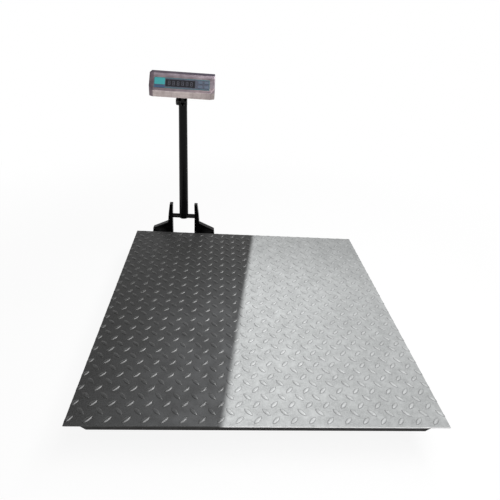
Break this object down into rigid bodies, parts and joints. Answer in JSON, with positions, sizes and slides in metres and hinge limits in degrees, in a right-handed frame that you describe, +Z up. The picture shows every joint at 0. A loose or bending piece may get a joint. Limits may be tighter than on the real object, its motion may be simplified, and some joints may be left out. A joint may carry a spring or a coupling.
{
  "type": "platform scale",
  "caption": "Electronic platform scale with a square chequer-plate deck on load cells and a wedge-shaped digital indicator on a rear pillar.",
  "frame": {"origin": "centre of the whole footprint, on the floor under the feet", "axes": "+X to the right, +Y to the back where the pillar stands, +Z up"},
  "size_m": [1, 1.104, 0.796],
  "materials": {
    "deck_steel": "rolled chequer plate, dark coat on the left side and bare silver on the right",
    "grey_paint": "dark grey satin paint",
    "black_paint": "black gloss enamel",
    "zinc_steel": "zinc-plated steel",
    "cell_alloy": "nickel-plated alloy steel",
    "stainless": "brushed stainless sheet",
    "lead_rubber": "black cable sheath",
    "box_alloy": "cast aluminium box",
    "black_plastic": "black moulded plastic",
    "key_plastic": "slate-blue key caps",
    "overlay_film": "dark slate printed overlay with a plain teal panel",
    "window_acrylic": "dark smoked acrylic",
    "digit_plastic": "seven-segment modules with pale unlit segments",
    "board_laminate": "green circuit board",
    "transformer_iron": "laminated iron with a wound coil"
  },
  "bodies": {
    "base": {"base_rail_front": "grey_paint", "base_rail_rear": "grey_paint", "base_rail_left": "grey_paint", "base_rail_right": "grey_paint", "base_cross_rail": "grey_paint", "foot_bosses": "grey_paint", "load_cell_spacers": "zinc_steel", "load_cells": "cell_alloy", "load_cell_bolts": "zinc_steel", "load_cell_leads": "lead_rubber", "lock_nuts": "zinc_steel", "junction_box": "box_alloy", "junction_lid": "box_alloy", "junction_board": "board_laminate", "junction_glands": "black_plastic", "junction_screws": "zinc_steel", "pillar_arm_left": "black_paint", "pillar_arm_right": "black_paint", "pillar_leg_left": "black_paint", "pillar_leg_right": "black_paint", "leg_bolts": "zinc_steel", "pillar_crossbar": "black_paint", "pillar_tube": "black_paint", "swivel_screw": "zinc_steel"},
    "deck": {"deck_plate": "deck_steel", "deck_skirt_front": "grey_paint", "deck_skirt_rear": "grey_paint", "deck_skirt_left": "grey_paint", "deck_skirt_right": "grey_paint", "deck_ribs": "grey_paint", "load_pads": "grey_paint", "load_buttons": "zinc_steel"},
    "foot_front_left": {"foot_front_left": "zinc_steel"},
    "foot_front_right": {"foot_front_right": "zinc_steel"},
    "foot_rear_left": {"foot_rear_left": "zinc_steel"},
    "foot_rear_right": {"foot_rear_right": "zinc_steel"},
    "swivel": {"swivel_head": "black_paint", "tilt_bolt": "zinc_steel"},
    "knob": {"tilt_knob": "black_plastic"},
    "indicator": {"tilt_bracket": "black_paint", "bracket_screws": "zinc_steel", "housing_shell": "stainless", "housing_floor": "stainless", "rear_cover": "stainless", "cover_screws": "zinc_steel", "front_overlay": "overlay_film", "display_window": "window_acrylic", "display_board": "board_laminate", "display_digits": "digit_plastic", "key_switches": "black_plastic", "main_board": "board_laminate", "battery": "black_plastic", "transformer": "transformer_iron", "switch_frame": "black_plastic", "rear_sockets": "black_plastic"},
    "key_zero": {"key_zero": "key_plastic"},
    "key_tare": {"key_tare": "key_plastic"},
    "key_mode": {"key_mode": "key_plastic"},
    "key_enter": {"key_enter": "key_plastic"},
    "rocker": {"power_rocker": "black_plastic"}
  },
  "joints": [
    {"name": "deck_travel", "type": "slide", "parent": "base", "child": "deck", "axis": [0, 0, 1], "range_m": [-0.0015, 0], "stiffness_N_per_m": 9800000, "deforming": ["load_cells"]},
    {"name": "foot_front_left_adjust", "type": "slide", "parent": "base", "child": "foot_front_left", "axis": [0, 0, 1], "range_m": [-0.008, 0.006]},
    {"name": "foot_front_right_adjust", "type": "slide", "parent": "base", "child": "foot_front_right", "axis": [0, 0, 1], "range_m": [-0.008, 0.006]},
    {"name": "foot_rear_left_adjust", "type": "slide", "parent": "base", "child": "foot_rear_left", "axis": [0, 0, 1], "range_m": [-0.008, 0.006]},
    {"name": "foot_rear_right_adjust", "type": "slide", "parent": "base", "child": "foot_rear_right", "axis": [0, 0, 1], "range_m": [-0.008, 0.006]},
    {"name": "indicator_swivel", "type": "hinge", "parent": "base", "child": "swivel", "pos_m": [-0.29, 0.493, 0.675], "axis": [0, 0, 1], "range_deg": [-170, 170]},
    {"name": "indicator_tilt", "type": "hinge", "parent": "swivel", "child": "indicator", "pos_m": [-0.29, 0.493, 0.692], "axis": [1, 0, 0], "range_deg": [-20, 20]},
    {"name": "tilt_knob_turn", "type": "hinge", "parent": "swivel", "child": "knob", "pos_m": [-0.31, 0.493, 0.692], "axis": [1, 0, 0], "continuous": true},
    {"name": "key_zero_press", "type": "slide", "parent": "indicator", "child": "key_zero", "axis": [0, 0.7134, -0.7007], "range_m": [0, 0.0008], "stiffness_N_per_m": 1500, "springref_m": -0.0005},
    {"name": "key_tare_press", "type": "slide", "parent": "indicator", "child": "key_tare", "axis": [0, 0.7134, -0.7007], "range_m": [0, 0.0008], "stiffness_N_per_m": 1500, "springref_m": -0.0005},
    {"name": "key_mode_press", "type": "slide", "parent": "indicator", "child": "key_mode", "axis": [0, 0.7134, -0.7007], "range_m": [0, 0.0008], "stiffness_N_per_m": 1500, "springref_m": -0.0005},
    {"name": "key_enter_press", "type": "slide", "parent": "indicator", "child": "key_enter", "axis": [0, 0.7134, -0.7007], "range_m": [0, 0.0008], "stiffness_N_per_m": 1500, "springref_m": -0.0005},
    {"name": "power_switch", "type": "hinge", "parent": "indicator", "child": "rocker", "pos_m": [-0.288, 0.537, 0.771], "axis": [1, 0, 0], "range_deg": [-8, 8]}
  ]
}
